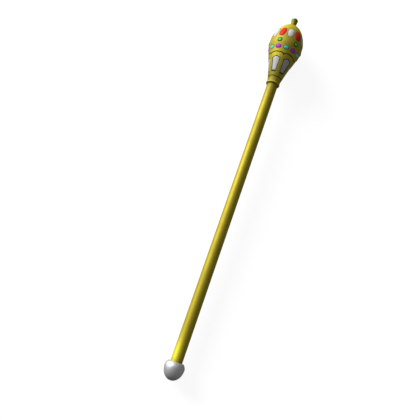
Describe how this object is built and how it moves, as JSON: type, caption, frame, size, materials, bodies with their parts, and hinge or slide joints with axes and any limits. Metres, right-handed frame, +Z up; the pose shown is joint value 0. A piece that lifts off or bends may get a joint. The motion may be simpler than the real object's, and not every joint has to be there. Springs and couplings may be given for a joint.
{
  "type": "sceptre",
  "caption": "Lying ceremonial sceptre: plain gilt rod, silver egg-shaped pommel, and a gilt egg-shaped head set with coloured stones and silver panels, with a finial.",
  "frame": {"origin": "on the surface that the sceptre lies on, at the middle of its length, below its axis", "axes": "+X along the sceptre from pommel to head, +Z up; the axis rises towards the head by about 1.35 degrees because the head is thicker than the pommel"},
  "size_m": [0.7774, 0.0714, 0.0695],
  "materials": {
    "gilt": "polished gilding over brass, darker in the engraved lines",
    "silver": "soft polish, lightly handled",
    "white_stone": "polished opaque cabochon",
    "red_stone": "polished opaque cabochon",
    "green_stone": "polished opaque cabochon",
    "turquoise_stone": "polished opaque cabochon",
    "violet_stone": "polished opaque cabochon"
  },
  "bodies": {
    "root": {"head": "gilt", "shaft": "gilt", "pommel": "silver", "finial_stone": "turquoise_stone", "crown_stone_white_1": "white_stone", "crown_stone_white_2": "white_stone", "crown_stone_white_3": "white_stone", "crown_stone_white_4": "white_stone", "crown_stone_white_5": "white_stone", "crown_stone_white_6": "white_stone", "crown_stone_red_1": "red_stone", "crown_stone_red_2": "red_stone", "crown_stone_red_3": "red_stone", "crown_stone_red_4": "red_stone", "crown_stone_red_5": "red_stone", "crown_stone_red_6": "red_stone", "shoulder_stone_green_1": "green_stone", "shoulder_stone_green_2": "green_stone", "shoulder_stone_green_3": "green_stone", "shoulder_stone_green_4": "green_stone", "shoulder_stone_green_5": "green_stone", "shoulder_stone_green_6": "green_stone", "belt_stone_turquoise_1": "turquoise_stone", "belt_stone_turquoise_2": "turquoise_stone", "belt_stone_turquoise_3": "turquoise_stone", "belt_stone_turquoise_4": "turquoise_stone", "belt_stone_turquoise_5": "turquoise_stone", "belt_stone_turquoise_6": "turquoise_stone", "belt_stone_violet_1": "violet_stone", "belt_stone_violet_2": "violet_stone", "belt_stone_violet_3": "violet_stone", "belt_stone_violet_4": "violet_stone", "belt_stone_violet_5": "violet_stone", "belt_stone_violet_6": "violet_stone", "silver_panel_1": "silver", "silver_panel_2": "silver", "silver_panel_3": "silver", "silver_panel_4": "silver", "silver_panel_5": "silver", "silver_panel_6": "silver"}
  },
  "joints": []
}
